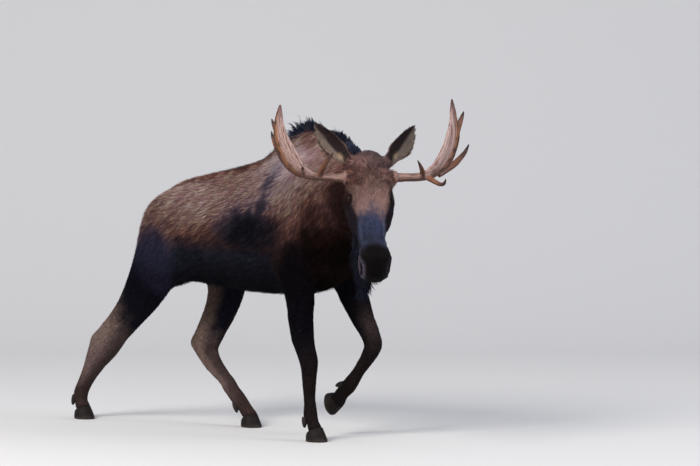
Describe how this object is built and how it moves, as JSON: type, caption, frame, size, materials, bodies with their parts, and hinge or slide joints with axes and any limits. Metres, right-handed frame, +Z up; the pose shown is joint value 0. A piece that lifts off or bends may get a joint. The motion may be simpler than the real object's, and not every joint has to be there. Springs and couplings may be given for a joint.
{
  "type": "moose",
  "caption": "Life-size still model of a young bull moose in mid stride, with its head turned to its right and the left forefoot lifted, for display.",
  "frame": {"origin": "middle of the model's box on the floor that the hooves stand on", "axes": "+X the way the animal walks, +Y to its left, +Z up; the head is turned towards -Y"},
  "size_m": [2.6184, 0.8548, 1.8597],
  "materials": {
    "coat": "coarse reddish-brown fur over a blue-black flank",
    "mane": "long blue-black guard hair",
    "face": "short brown fur, grey on the nose",
    "leg": "short grey-tan fur",
    "dark_leg": "short blackish fur",
    "ear": "short grey-brown fur",
    "antler": "grooved tan bone with darker tips",
    "hoof": "worn dark horn",
    "eye": "wet dark brown"
  },
  "bodies": {
    "root": {"trunk": "coat", "neck": "coat", "head": "face", "bell": "mane", "tail": "mane", "ear_left": "ear", "ear_right": "ear", "eye_left": "eye", "eye_right": "eye", "antler_left_beam": "antler", "antler_left_palm": "antler", "antler_left_brow_tine": "antler", "antler_left_fore_tine": "antler", "antler_left_outer_point": "antler", "antler_left_rear_tine": "antler", "antler_right_beam": "antler", "antler_right_palm": "antler", "antler_right_brow_tine": "antler", "antler_right_upper_point": "antler", "antler_right_lower_point": "antler", "leg_left_fore_upper": "dark_leg", "leg_left_fore_lower": "dark_leg", "leg_right_fore_upper": "dark_leg", "leg_right_fore_lower": "dark_leg", "leg_left_hind_upper": "dark_leg", "leg_left_hind_lower": "leg", "leg_right_hind_upper": "dark_leg", "leg_right_hind_lower": "leg", "hoof_left_fore_outer": "hoof", "hoof_left_fore_inner": "hoof", "hoof_right_fore_outer": "hoof", "hoof_right_fore_inner": "hoof", "hoof_left_hind_outer": "hoof", "hoof_left_hind_inner": "hoof", "hoof_right_hind_outer": "hoof", "hoof_right_hind_inner": "hoof", "dewclaw_left_fore_outer": "hoof", "dewclaw_left_fore_inner": "hoof", "dewclaw_right_fore_outer": "hoof", "dewclaw_right_fore_inner": "hoof", "dewclaw_left_hind_outer": "hoof", "dewclaw_left_hind_inner": "hoof", "dewclaw_right_hind_outer": "hoof", "dewclaw_right_hind_inner": "hoof"}
  },
  "joints": []
}
